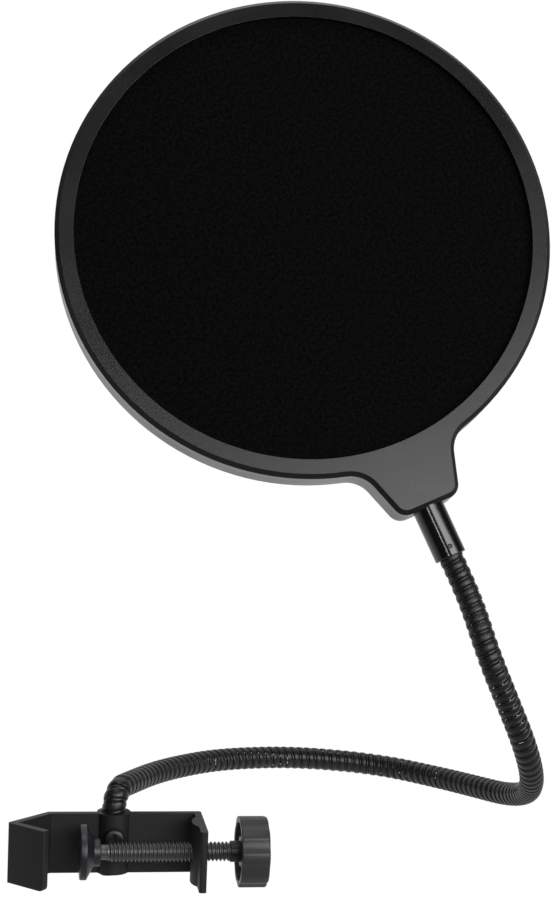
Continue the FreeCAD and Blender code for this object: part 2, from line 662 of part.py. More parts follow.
def corner_arc(before, corner, after, first, final):
    """The tangent arc that rounds one corner: its start, middle and end."""
    back, ahead = before - corner, after - corner
    shorter = min(back.Length * (2 if first else 1), ahead.Length * (2 if final else 1))
    share = ARC_SHARE * shorter
    back.normalize()
    ahead.normalize()
    middle_way = back + ahead
    middle_way.normalize()
    half_turn = back.getAngle(ahead) / 2
    radius = share * math.tan(half_turn)
    to_centre = (share * share + radius * radius) ** 0.5
    return corner + back * share, corner + middle_way * (to_centre - radius), corner + ahead * share


def pipe(path, radius):
    """A round rod of one radius along a smooth wire."""
    start = path.Edges[0]
    spot = start.valueAt(start.FirstParameter)
    way = start.tangentAt(start.FirstParameter)
    ring = Part.Wire([Part.makeCircle(radius, spot, way)])
    return path.makePipeShell([ring], True, False)


def neck():
    """Ten lengths of neck, each a spring tube inside a wrap tube, round one corner each."""
    corners = neck_route()
    socket_end = Vector(corners[0].x, corners[0].y, number("-bracket_tall/2 + neck_up"))
    ferrule_end = corners[-1] - TAB_DOWN * number("neck_in")
    half_gap = number("bend_gap/2")
    count = len(corners) - 2
    fix = Part.makeCylinder(number("fix_dia/2 + fix_gap"), number("neck_dia/2"),
                            Vector(corners[0].x, corners[0].y, number("fix_raise")), -Y_AXIS)
    pin_way = TURN_HEAD.multVec(Z_AXIS)
    pin_spot = (corners[-1] - TAB_DOWN * number("pin_place")
                - pin_way * number("neck_dia/2 + overcut"))
    pin = Part.makeCylinder(number("pin_dia/2"), number("neck_dia + 2*overcut"), pin_spot, pin_way)
    for index in range(1, count + 1):
        before, corner, after = corners[index - 1], corners[index], corners[index + 1]
        start, middle, end = corner_arc(before, corner, after, index == 1, index == count)
        if index == 1:
            foot = socket_end
        else:
            foot = (before + corner) * 0.5 + way_between(before, corner) * half_gap
        if index == count:
            top = ferrule_end
        else:
            top = (corner + after) * 0.5 - way_between(corner, after) * half_gap
        path = Part.Wire([Part.makeLine(foot, start), Part.Arc(start, middle, end).toShape(),
                          Part.makeLine(end, top)])
        for layer, outer, inner in (("wrap", number("neck_dia/2"), number(WRAP_INNER)),
                                    ("spring", number(SPRING_OUTER), number(SPRING_INNER))):
            tube = pipe(path, outer).cut(pipe(path, inner))
            expected = math.pi * (outer**2 - inner**2) * path.Length
            if abs(tube.Volume - expected) > VOLUME_SHARE * expected:
                raise RuntimeError("neck %s %d was not swept whole" % (layer, index))
            if index == 1:
                tube = tube.cut(fix)
            if index == count:
                tube = tube.cut(pin)
            node = "neck_%s_%02d" % (layer, index)
            solid = doc.addObject("Part::Feature", node + "_tube")
            solid.Shape = tube.Solids[0]
            keep(solid, node)


def way_between(first, second):
    """Unit vector from the first point to the second."""
    way = second - first
    way.normalize()
    return way


def main():
    """Build every sub-part, check it, and write one STEP file for each."""
    clamp_bracket()
    neck_fixings()
    pressure_pad()
    clamp_screw()
    knob()
    shells()
    screens()
    ferrule()
    tab_screws()
    neck()
    doc.recompute()
    for thing in doc.Objects:
        if "Invalid" in thing.State or "Error" in thing.State:
            raise RuntimeError("%s failed to build: %s" % (thing.Name, thing.State))
    for node, thing in parts.items():
        if thing.Shape.isNull() or not thing.Shape.isValid() or not thing.Shape.Solids:
            raise RuntimeError(node + " has no valid solid")
    os.makedirs("parts", exist_ok=True)
    for node, thing in parts.items():
        thing.Shape.exportStep(os.path.join("parts", node + ".step"))
    print("%d sub-parts written" % len(parts))


main()
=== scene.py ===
"""Visual model of a clamp-on pop filter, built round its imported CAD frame.

Sizes are in millimetres in the row frame: the origin is the axis of the clamped stand tube at
the clamp's mid-height, +X runs along the clamp screw to its knob, and +Z is up the tube.
"""

from __future__ import annotations

import json
import logging
import math
from collections.abc import Sequence
from dataclasses import dataclass, field
from enum import Enum

import bmesh
import bpy
import numpy as np
from mathutils import Matrix, Vector


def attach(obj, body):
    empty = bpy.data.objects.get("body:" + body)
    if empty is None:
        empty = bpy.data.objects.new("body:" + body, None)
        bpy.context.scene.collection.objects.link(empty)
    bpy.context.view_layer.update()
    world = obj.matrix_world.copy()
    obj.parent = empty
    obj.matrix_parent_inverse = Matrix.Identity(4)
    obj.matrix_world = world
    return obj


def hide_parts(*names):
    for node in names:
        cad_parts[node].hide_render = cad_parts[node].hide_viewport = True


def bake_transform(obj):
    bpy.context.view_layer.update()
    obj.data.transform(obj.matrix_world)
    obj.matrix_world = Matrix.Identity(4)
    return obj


LOG = logging.getLogger("pop_filter")
MM = 0.001
TURN = 2 * math.pi
ONE_POINT = 1e-7                # metres within which two points of a new mesh are one
ONE_CAD_POINT = 2e-6            # the same for a copied CAD mesh
FLAT_WITHIN = 0.4               # degrees that the parts of one flat face may differ by
EASED_OVER = 30.0               # an edge is eased where its faces differ by more degrees
EASE_STEPS = 2                  # faces across an eased edge
CORNER_SHARE = 0.49             # of a side, the most that one corner's arc takes

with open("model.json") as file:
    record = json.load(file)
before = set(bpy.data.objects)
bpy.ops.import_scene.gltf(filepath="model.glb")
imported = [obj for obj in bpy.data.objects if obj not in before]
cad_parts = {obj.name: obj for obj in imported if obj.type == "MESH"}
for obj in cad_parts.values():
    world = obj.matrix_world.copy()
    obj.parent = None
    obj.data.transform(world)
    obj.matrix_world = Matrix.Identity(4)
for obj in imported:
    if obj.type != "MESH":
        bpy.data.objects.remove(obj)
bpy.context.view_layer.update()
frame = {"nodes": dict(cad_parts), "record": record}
BODY_OF = {node: body for body, nodes in frame["record"]["behaviour"]["bodies"].items()
           for node in nodes}

Outline = Sequence[tuple[float, float, float]]


# ---------------------------------------------------------------- mesh tools


def spin_matrix(axis: str, degrees: float) -> np.ndarray:
    """The 3 by 3 matrix of a turn about a row axis."""
    return np.array(Matrix.Rotation(math.radians(degrees), 3, axis))


def unit(vector: np.ndarray) -> np.ndarray:
    """The vectors of the last axis, each divided by its length."""
    return vector / np.linalg.norm(vector, axis=-1, keepdims=True)


def grid_faces(rows: int, cols: int, close_rows: bool = False,
               close_cols: bool = True) -> np.ndarray:
    """Quads of a grid whose point (row, column) has index row * cols + column.

    Args:
        rows: Number of rows.
        cols: Number of columns.
        close_rows: Whether the last row joins the first.
        close_cols: Whether the last column joins the first.

    Returns:
        An array of four corner indices for each quad.
    """
    row = np.arange(rows if close_rows else rows - 1)
    col = np.arange(cols if close_cols else cols - 1)
    row, col = np.meshgrid(row, col, indexing="ij")
    below, beside = (row + 1) % rows, (col + 1) % cols
    corners = [row * cols + col, row * cols + beside, below * cols + beside, below * cols + col]
    return np.stack(corners, -1).reshape(-1, 4)


def rounded(corners: Outline, steps: int = 4, closed: bool = True) -> np.ndarray:
    """An outline whose corners are arcs tangent to both sides.

    At a corner P with unit sides u and v, half angle h and radius q, the arc's centre is
    P + (u + v) / |u + v| * q / sin h, and its ends are q / tan h from P.

    Args:
        corners: First and second coordinate, and the corner's radius, 0 for a sharp one.
        steps: Points on each arc, less one.
        closed: Whether the outline runs back to its first corner.

    Returns:
        The outline's points, one row each.
    """
    spots = np.array([corner[:2] for corner in corners], float)
    out: list[np.ndarray] = []
    for index, (_, _, radius) in enumerate(corners):
        here = spots[index]
        if radius <= 0 or (not closed and index in (0, len(corners) - 1)):
            out.append(here[None])
            continue
        back, ahead = spots[index - 1] - here, spots[(index + 1) % len(corners)] - here
        room = CORNER_SHARE * min(np.linalg.norm(back), np.linalg.norm(ahead))
        back, ahead = unit(back), unit(ahead)
        half = math.acos(float(np.clip(back @ ahead, -1, 1))) / 2
        radius = min(radius, room * math.tan(half))
        centre = here + unit(back + ahead) * radius / math.sin(half)
        first = here + back * radius / math.tan(half) - centre
        last = here + ahead * radius / math.tan(half) - centre
        share = np.linspace(0, 1, steps + 1)[:, None]
        out.append(centre + radius * unit(first * (1 - share) + last * share))
    return np.concatenate(out)


def new_piece(name: str, points: np.ndarray, faces: np.ndarray, sharp: float = 32.0,
              ends: Sequence[Sequence[int]] = ()) -> bpy.types.Object:
    """A mesh object from points in millimetres, with its doubles merged and faces outwards.

    Args:
        name: The piece's name.
        points: One row for each point.
        faces: One row of corner indices for each quad.
        sharp: Edges that turn by more than this many degrees stay sharp.
        ends: Extra faces that close the ends, as index lists.

    Returns:
        The new object, linked to the scene.
    """
    mesh = bpy.data.meshes.new(name)
    mesh.from_pydata((points.reshape(-1, 3) * MM).tolist(), [], faces.tolist() + list(ends))
    work = bmesh.new()
    work.from_mesh(mesh)
    bmesh.ops.remove_doubles(work, verts=work.verts, dist=ONE_POINT)
    bmesh.ops.recalc_face_normals(work, faces=work.faces)
    work.to_mesh(mesh)
    work.free()
    return shown(name, mesh, sharp)


def shown(name: str, mesh: bpy.types.Mesh, sharp: float) -> bpy.types.Object:
    """Links a mesh to the scene, smooth but for edges that turn by more than sharp degrees."""
    mesh.polygons.foreach_set("use_smooth", np.ones(len(mesh.polygons), bool))
    mesh.set_sharp_from_angle(angle=math.radians(sharp))
    piece = bpy.data.objects.new(name, mesh)
    bpy.context.scene.collection.objects.link(piece)
    return piece


def circle(steps: int, axes: np.ndarray) -> tuple[np.ndarray, np.ndarray]:
    """Even angles a round the third of three axes, and the directions cos a * one + sin a * two."""
    angle = np.arange(steps) * TURN / steps
    return angle, np.cos(angle)[:, None] * axes[0] + np.sin(angle)[:, None] * axes[1]


def lathed(outline: np.ndarray, steps: int, base: np.ndarray, axes: np.ndarray) -> np.ndarray:
    """Points of an outline turned about a line: base + h * along + r * (cos a * one + sin a * two).

    Args:
        outline: Radius r and height h of each point.
        steps: Number of angles a.
        base: A point on the line.
        axes: Rows one, two and along, a right-handed frame.

    Returns:
        A grid of points, outline by angle.
    """
    _, ring = circle(steps, axes)
    return base + outline[:, 1, None, None] * axes[2] + outline[:, 0, None, None] * ring


def softened(node: str, name: str, width: float, finish: Finish,
             edge: Finish | None = None) -> bpy.types.Object:
    """A copy of a CAD node whose flat faces are whole and whose edges are eased.

    Args:
        node: The CAD node, which the copy replaces.
        name: The new piece's name.
        width: How far each edge is eased, in millimetres.
        finish: The finish of its faces.
        edge: The finish of its eased edges, if it differs.

    Returns:
        The new piece, riding on the node's body.
    """
    mesh = frame["nodes"][node].data.copy()
    mesh.name = name
    if "custom_normal" in mesh.attributes:
        mesh.attributes.remove(mesh.attributes["custom_normal"])
    work = bmesh.new()
    work.from_mesh(mesh)
    bmesh.ops.remove_doubles(work, verts=work.verts, dist=ONE_CAD_POINT)
    bmesh.ops.dissolve_limit(work, angle_limit=math.radians(FLAT_WITHIN), verts=work.verts,
                             edges=work.edges)
    for line in work.edges:
        line.smooth = True
    work.to_mesh(mesh)
    work.free()
    mesh.materials.clear()
    piece = shown(name, mesh, sharp=180.0)
    bevel = piece.modifiers.new("eased", "BEVEL")
    bevel.width = width * MM
    bevel.segments = EASE_STEPS
    bevel.limit_method = "ANGLE"
    bevel.angle_limit = math.radians(EASED_OVER)
    bevel.harden_normals = True
    mesh.materials.append(finish.material())
    if edge is not None:
        mesh.materials.append(edge.material())
        bevel.material = 1
    return stands_for(piece, BODY_OF[node], node)


def stands_for(piece: bpy.types.Object, body: str, *nodes: str) -> bpy.types.Object:
    """Rides a piece on a body in place of CAD nodes, which it hides, and logs what it stands for."""
    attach(piece, body)
    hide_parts(*nodes)
    return slotted(piece, nodes[0])


def slotted(piece: bpy.types.Object, node: str) -> bpy.types.Object:
    """Logs which CAD node a piece stands for, and how many faces it has."""
    LOG.info("%s stands for %s, %d faces", piece.name, node, len(piece.data.polygons))
    return piece


# ---------------------------------------------------------------- finishes


class Tree:
    """Adds nodes to a node tree and joins them."""

    def __init__(self, tree: bpy.types.NodeTree) -> None:
        """Starts from an empty tree."""
        self.tree = tree
        self.tree.nodes.clear()

    def node(self, kind: str, inputs: dict | None = None, **settings: object) -> bpy.types.Node:
        """A new node.

        Args:
            kind: The node's type, without its ShaderNode prefix where it has one.
            inputs: A value or a socket for each input, by name or number.
            settings: Attributes of the node.

        Returns:
            The node.
        """
        full = kind if kind.startswith("NodeGroup") else "ShaderNode" + kind
        made = self.tree.nodes.new(full)
        for key, value in settings.items():
            setattr(made, key, value)
        for key, value in (inputs or {}).items():
            if isinstance(value, bpy.types.NodeSocket):
                self.tree.links.new(value, made.inputs[key])
            else:
                made.inputs[key].default_value = value
        return made

    def maths(self, operation: str, *values: object) -> bpy.types.NodeSocket:
        """The result of a Math node."""
        return self.node("Math", dict(enumerate(values)), operation=operation).outputs[0]

    def spread(self, value: bpy.types.NodeSocket, low: float, high: float,
               start: float = 0.0, end: float = 1.0) -> bpy.types.NodeSocket:
        """A value that goes from low to high as the input goes from start to end."""
        inputs = {"Value": value, "From Min": start, "From Max": end, "To Min": low, "To Max": high}
        return self.node("MapRange", inputs).outputs[0]

    def blended(self, share: bpy.types.NodeSocket, dark: Sequence[float],
                light: Sequence[float]) -> bpy.types.NodeSocket:
        """A colour between two."""
        mix = self.node("Mix", {0: share}, data_type="RGBA")
        mix.inputs[6].default_value = (*dark, 1)
        mix.inputs[7].default_value = (*light, 1)
        return mix.outputs[2]


def effect(name: str, inputs: dict[str, str], outputs: Sequence[str]) -> tuple:
    """A new shader node group with named sockets.

    Args:
        name: The group's name.
        inputs: Socket type of each input, by name.
        outputs: Names of the value outputs.

    Returns:
        The group, its Tree, its input node and its output node.
    """
    group = bpy.data.node_groups.new(name, "ShaderNodeTree")
    for key, kind in inputs.items():
        group.interface.new_socket(key, in_out="INPUT", socket_type="NodeSocket" + kind)
    for key in outputs:
        group.interface.new_socket(key, in_out="OUTPUT", socket_type="NodeSocketFloat")
    tree = Tree(group)
    return group, tree, tree.node("NodeGroupInput"), tree.node("NodeGroupOutput")


def grain_effect() -> bpy.types.NodeTree:
    """Fine moulded or painted grain.

    Tone is broad noise mixed with fine noise, and Height is fine noise plus the distance to the
    nearest of many scattered points, so that the surface is pebbled.
    """
    fine_share, pebble_share, broad = 0.45, 0.5, 0.02
    group, tree, given, made = effect("fine_grain", {"Vector": "Vector", "Scale": "Float"},
                                      ("Tone", "Height"))
    fine = tree.node("TexNoise", {"Vector": given.outputs[0], "Scale": given.outputs[1],
                                  "Detail": 5.0, "Roughness": 0.6}).outputs[0]
    pebble = tree.node("TexVoronoi", {"Vector": given.outputs[0],
                                      "Scale": given.outputs[1]}).outputs[0]
    wide = tree.node("TexNoise", {"Vector": given.outputs[0],
                                  "Scale": tree.maths("MULTIPLY", given.outputs[1], broad),
                                  "Detail": 4.0}).outputs[0]
    tone = tree.maths("MULTIPLY_ADD", fine, fine_share,
                      tree.maths("MULTIPLY", wide, 1 - fine_share))
    height = tree.maths("MULTIPLY_ADD", pebble, pebble_share, fine)
    tree.tree.links.new(tone, made.inputs[0])
    tree.tree.links.new(height, made.inputs[1])
    return group


def streak_effect() -> bpy.types.NodeTree:
    """Lines left by drawing or rolling: noise stretched along the vector's third axis.

    Tone is the noise itself, and Height is the same noise with its contrast raised.
    """
    squeeze, low, high = 0.03, 0.35, 0.65
    group, tree, given, made = effect("drawn_lines", {"Vector": "Vector", "Scale": "Float"},
                                      ("Tone", "Height"))
    drawn = tree.node("Mapping", {"Vector": given.outputs[0], "Scale": (1.0, 1.0, squeeze)})
    lines = tree.node("TexNoise", {"Vector": drawn.outputs[0], "Scale": given.outputs[1],
                                   "Detail": 3.0, "Roughness": 0.7}).outputs[0]
    tree.tree.links.new(lines, made.inputs[0])
    tree.tree.links.new(tree.spread(lines, 0.0, 1.0, low, high), made.inputs[1])
    return group


def handling_effect() -> bpy.types.NodeTree:
    """Handling marks: sparse specks and soft smudges, each from 0 to 1."""
    speck, speck_edge, broad, clean, smudged = 0.03, 0.12, 0.05, 0.3, 0.7
    group, tree, given, made = effect("handling", {"Vector": "Vector", "Scale": "Float"},
                                      ("Specks", "Smudge"))
    spots = tree.node("TexVoronoi", {"Vector": given.outputs[0],
                                     "Scale": given.outputs[1]}).outputs[0]
    smudge = tree.node("TexNoise", {"Vector": given.outputs[0],
                                    "Scale": tree.maths("MULTIPLY", given.outputs[1], broad),
                                    "Detail": 3.0}).outputs[0]
    tree.tree.links.new(tree.spread(spots, 1.0, 0.0, speck, speck_edge), made.inputs[0])
    tree.tree.links.new(tree.spread(smudge, 0.0, 1.0, clean, smudged), made.inputs[1])
    return group


def weave_effect() -> bpy.types.NodeTree:
    """Plain weave of round threads.

    With a = sin(pi u / p) and b = sin(pi v / p), warp threads are |a| and weft threads |b|
    high, and which is on top follows the sign of a times b. Height is the higher of the two,
    and Hole is near 1 where both are low.
    """
    under, open_below, closed_above = 0.6, 0.25, 0.5
    group, tree, given, made = effect("plain_weave", {"Vector": "Vector", "Pitch": "Float"},
                                      ("Height", "Hole"))
    axes = tree.node("SeparateXYZ", {0: given.outputs[0]})
    waves = []
    for way in (0, 1):
        share = tree.maths("DIVIDE", axes.outputs[way], given.outputs[1])
        waves.append(tree.maths("SINE", tree.maths("MULTIPLY", share, math.pi)))
    over = tree.maths("MULTIPLY", waves[0], waves[1])
    warp = tree.maths("MULTIPLY", tree.maths("ABSOLUTE", waves[0]),
                      tree.spread(over, under, 1.0, -1.0))
    weft = tree.maths("MULTIPLY", tree.maths("ABSOLUTE", waves[1]),
                      tree.spread(over, 1.0, under, -1.0))
    height = tree.maths("MAXIMUM", warp, weft)
    tree.tree.links.new(height, made.inputs[0])
    tree.tree.links.new(tree.spread(height, 1.0, 0.0, open_below, closed_above), made.inputs[1])
    return group


class Effects(Enum):
    """The shared effects, each a function that makes its node group once."""

    GRAIN = "fine_grain"
    STREAKS = "drawn_lines"
    HANDLING = "handling"
    WEAVE = "plain_weave"

    def group(self) -> bpy.types.NodeTree:
        """The node group, made when it is first asked for."""
        made = bpy.data.node_groups.get(self.value)
        if made is not None:
            return made
        return {Effects.GRAIN: grain_effect, Effects.STREAKS: streak_effect,
                Effects.HANDLING: handling_effect, Effects.WEAVE: weave_effect}[self]()


DUST = (0.25, 0.25, 0.25, 1)
MARKS_SCALE = 0.25              # of a finish's scale, the scale of the marks on it


@dataclass(frozen=True)
class Finish:
    """A painted, moulded or metal surface.

    Its colour runs from dark to light with the effect's tone, with a few specks of dust. Its
    roughness runs from smooth to rough with the smudges, and its bump is the effect's height
    times depth, which is in millimetres.
    """

    name: str
    dark: tuple[float, float, float]
    light: tuple[float, float, float]
    smooth: float
    rough: float
    effect: Effects = Effects.GRAIN
    scale: float = 4000.0
    depth: float = 0.02
    specular: float = 0.5
    metallic: float = 0.0
    specks: float = 0.02
    tones: tuple[float, float] = (0.3, 0.7)     # of the effect, at the dark and light colours

    def material(self) -> bpy.types.Material:
        """The material, made when it is first asked for."""
        made = bpy.data.materials.get(self.name)
        if made is not None:
            return made
        made = bpy.data.materials.new(self.name)
        made.use_nodes = True
        tree = Tree(made.node_tree)
        place = tree.node("TexCoord").outputs["Object"]
        surface = tree.node("Group", node_tree=self.effect.group())
        marks = tree.node("Group", node_tree=Effects.HANDLING.group())
        for group, scale in ((surface, self.scale), (marks, MARKS_SCALE * self.scale)):
            tree.tree.links.new(place, group.inputs[0])
            group.inputs[1].default_value = scale
        plain = tree.blended(tree.spread(surface.outputs[0], 0, 1, *self.tones),
                             self.dark, self.light)
        speck = tree.maths("MULTIPLY", marks.outputs[0], self.specks)
        colour = tree.node("Mix", {0: speck, 6: plain, 7: DUST}, data_type="RGBA")
        bump = tree.node("Bump", {"Strength": 1.0, "Distance": self.depth * MM,
                                  "Height": surface.outputs[1]})
        shader = tree.node("BsdfPrincipled", {
            "Base Color": colour.outputs[2], "Metallic": self.metallic,
            "Roughness": tree.spread(marks.outputs[1], self.smooth, self.rough),
            "Specular IOR Level": self.specular, "Normal": bump.outputs[0]})
        tree.node("OutputMaterial", {0: shader.outputs[0]})
        return made


@dataclass(frozen=True)
class Netting:
    """Black nylon net, patterned in the piece's own flat coordinates, which are in metres."""

    name: str
    pitch: float = 0.55             # of the weave, in millimetres
    depth: float = 0.08             # of a thread's bump, in millimetres
    thread: tuple[float, float, float] = (0.0045, 0.0045, 0.0047)
    # partly painted shade: this near-black fills the gaps between threads and stands in for the black
    # net and the shaded inside of the filter seen through them; it is also the darkest tone of the
    # uneven threads
    dark_thread_and_gap_shade: tuple[float, float, float] = (0.0006, 0.0006, 0.0006)
    patches: float = 900.0          # scale of the noise that makes the threads uneven
    tones: tuple[float, float] = (0.35, 0.65)
    smooth: float = 0.7
    rough: float = 0.95
    specular: float = 0.04

    def material(self) -> bpy.types.Material:
        """The material, made when it is first asked for."""
        made = bpy.data.materials.get(self.name)
        if made is not None:
            return made
        made = bpy.data.materials.new(self.name)
        made.use_nodes = True
        tree = Tree(made.node_tree)
        place = tree.node("UVMap", uv_map="flat").outputs[0]
        weave = tree.node("Group", {0: place, 1: self.pitch * MM}, node_tree=Effects.WEAVE.group())
        patchy = tree.node("TexNoise", {"Vector": place, "Scale": self.patches,
                                        "Detail": 4.0}).outputs[0]
        thread = tree.blended(tree.spread(patchy, 0, 1, *self.tones), self.dark_thread_and_gap_shade, self.thread)
        # the gaps between threads get the painted shade colour
        colour = tree.node("Mix", {0: weave.outputs[1], 6: thread, 7: (*self.dark_thread_and_gap_shade, 1)},
                           data_type="RGBA")
        bump = tree.node("Bump", {"Strength": 1.0, "Distance": self.depth * MM,
                                  "Height": weave.outputs[0]})
        shader = tree.node("BsdfPrincipled", {
            "Base Color": colour.outputs[2], "Specular IOR Level": self.specular,
            "Roughness": tree.spread(patchy, self.smooth, self.rough), "Normal": bump.outputs[0]})
        tree.node("OutputMaterial", {0: shader.outputs[0]})
        return made


def grey(value: float, tint: float = 0.03) -> tuple[float, float, float]:
    """A grey whose blue is greater by the share that tint gives."""
    return value, value, value * (1 + tint)


BRACKET = Finish("bracket_black", grey(0.007), grey(0.011), 0.5, 0.6, Effects.STREAKS, 3500.0, 0.01)
BRACKET_EDGE = Finish("bracket_edge", grey(0.014), grey(0.03), 0.32, 0.45, depth=0.008)
SHELL = Finish("shell_black", grey(0.005), grey(0.0075), 0.27, 0.33, scale=3000.0, depth=0.02)
SHELL_REAR = Finish("shell_rear_black", grey(0.008), grey(0.012), 0.28, 0.38, scale=3000.0,
                    depth=0.015)
WIRE = Finish("neck_wire_black", grey(0.009), grey(0.014), 0.32, 0.46, depth=0.004)
SPRING = Finish("spring_wire_black", grey(0.008), grey(0.013), 0.3, 0.42, depth=0.004)
GLOSS = Finish("ferrule_gloss", grey(0.004), grey(0.006), 0.1, 0.16, depth=0.003, specular=0.8)
SCREW = Finish("screw_steel", grey(0.035, 0), grey(0.07, 0), 0.2, 0.32, depth=0.006, metallic=0.9)
PAD = Finish("pad_metal", grey(0.03, 0), grey(0.055, 0), 0.22, 0.34, Effects.STREAKS, 5000.0, 0.006,
             metallic=0.8)
KNOB = Finish("knob_plastic", grey(0.007), grey(0.011), 0.34, 0.44, depth=0.015, specular=0.42)
DARK_STEEL = Finish("black_screws", grey(0.01, 0), grey(0.02, 0), 0.2, 0.35, depth=0.005,
                    metallic=0.4)
PLAIN_STEEL = Finish("plain_steel", grey(0.3, 0), grey(0.45, 0), 0.25, 0.4, Effects.STREAKS, 6000.0,
                     0.005, metallic=1.0)
HOOP = Finish("hoop_plastic", grey(0.01), grey(0.016), 0.5, 0.7)
NET = Netting("mesh_net")


# ---------------------------------------------------------------- clamp

SCREW_AXES = np.array([[0.0, 1, 0], [0, 0, 1], [1, 0, 0]])    # turned about the screw, +X
KNOB_AXES = np.array([[0.0, 0, -1], [0, 1, 0], [1, 0, 0]])    # the same, from straight down
PAD_FACE = 8.0                  # the pad's face along the screw's axis


@dataclass
class ClampBracket:
    """The extruded bracket with its jaw, web, socket and boss, and the screw in its web."""

    edge: float = 0.3
    screw_edge: float = 0.12

    def build(self) -> None:
        """Eases the edges of the bracket and of the neck screw."""
        softened("clamp_bracket", "bracket_body", self.edge, BRACKET, BRACKET_EDGE)
        softened("neck_screw", "neck_fixing_screw", self.screw_edge, DARK_STEEL)


@dataclass
class ClampScrew:
    """The threaded spindle with its plain pivot and pilot."""

    pilot_end: float = 0.5          # heights are from the pad's face
    pilot: float = 1.6
    seat: tuple[float, float, float] = (1.15, 1.55, 1.25)   # clip groove: from, to, radius
    pivot_from: float = 3.25
    pivot: float = 2.5
    pivot_to: float = 8.5
    crest: float = 3.175
    root: float = 2.56
    pitch: float = 1.27
    end: float = 57.4               # thread's end along the screw
    run_in: float = 1.5             # length over which the thread rises
    peak: float = 1.35              # flank's height at the middle of a crest, before the cut
    flank: float = 3.4              # how steeply it falls, for each pitch
    tip_soft: float = 0.2
    shoulder_soft: float = 0.15
    angles: int = 48
    per_turn: int = 12

    def thread(self, height: np.ndarray, angle: np.ndarray) -> np.ndarray:
        """Radius of the thread, for heights by angles.

        With w = height / pitch - angle / turn, less its whole part, the crest is where w is
        near a half. The height over the root is peak - flank |w - 1/2|, cut to between 0 and 1
        of the thread's depth, and it is scaled down over the run-in.
        """
        share = (height[:, None] / self.pitch - angle[None, :] / TURN) % 1.0
        over_root = np.clip(self.peak - self.flank * np.abs(share - 0.5), 0, 1)
        risen = np.clip((height - self.pivot_to) / self.run_in, 0, 1)[:, None]
        core = self.pivot + (self.root - self.pivot) * risen
        return core + (self.crest - self.root) * over_root * risen

    def build(self) -> None:
        """Builds the spindle: a turned tip, then the threaded length on a finer grid."""
        groove_from, groove_to, groove = self.seat
        tip = rounded([
            (0.0, self.pilot_end, 0), (self.pilot, self.pilot_end, self.tip_soft),
            (self.pilot, groove_from, 0), (groove, groove_from, 0), (groove, groove_to, 0),
            (self.pilot, groove_to, 0), (self.pilot, self.pivot_from, 0),
            (self.pivot, self.pivot_from, self.shoulder_soft), (self.pivot, self.pivot_to, 0)],
            closed=False)
        base = PAD_FACE * SCREW_AXES[2]
        turned_tip = lathed(tip, self.angles, base, SCREW_AXES)
        turns = (self.end - self.pivot_to) / self.pitch
        height = np.linspace(self.pivot_to, self.end, int(turns * self.per_turn) + 1)[1:]
        angle, ring = circle(self.angles, SCREW_AXES)
        radius = self.thread(height, angle)
        threaded = base + height[:, None, None] * SCREW_AXES[2] + radius[..., None] * ring
        axis_end = np.broadcast_to(base + self.end * SCREW_AXES[2], (1, self.angles, 3))
        points = np.concatenate([turned_tip, threaded, axis_end])
        piece = new_piece("clamp_spindle", points, grid_faces(len(points), self.angles), sharp=50.0)
        piece.data.materials.append(SCREW.material())
        stands_for(piece, "screw", "clamp_screw")


@dataclass
class PressurePad:
    """The dished pad that turns on the spindle's end."""

    radius: float = 8.9
    rim: float = 2.1
    cone: float = 2.4
    hub: float = 4.5
    length: float = 6.6
    pivot: float = 2.56
    pilot: float = 1.66
    step: float = 3.2
    dish: float = 4.2
    dish_deep: float = 1.6
    soft: float = 0.35
    root_soft: float = 0.8          # where the cone meets the hub
    hub_soft: float = 0.45
    bore_soft: float = 0.2
    steps: int = 72

    def build(self) -> None:
        """Turns the pad's closed outline about the screw's axis."""
        outline = rounded([
            (self.dish, 0, self.soft), (self.radius, 0, self.soft),
            (self.radius, self.rim, self.soft), (self.hub, self.rim + self.cone, self.root_soft),
            (self.hub, self.length, self.hub_soft), (self.pivot, self.length, self.bore_soft),
            (self.pivot, self.step, 0), (self.pilot, self.step, 0), (self.pilot, self.dish_deep, 0),
            (self.dish, self.dish_deep, self.bore_soft)])
        points = lathed(outline, self.steps, PAD_FACE * SCREW_AXES[2], SCREW_AXES)
        piece = new_piece("pad_disc", points, grid_faces(len(outline), self.steps, close_rows=True))
        piece.data.materials.append(PAD.material())
        stands_for(piece, "pad", "pressure_pad")


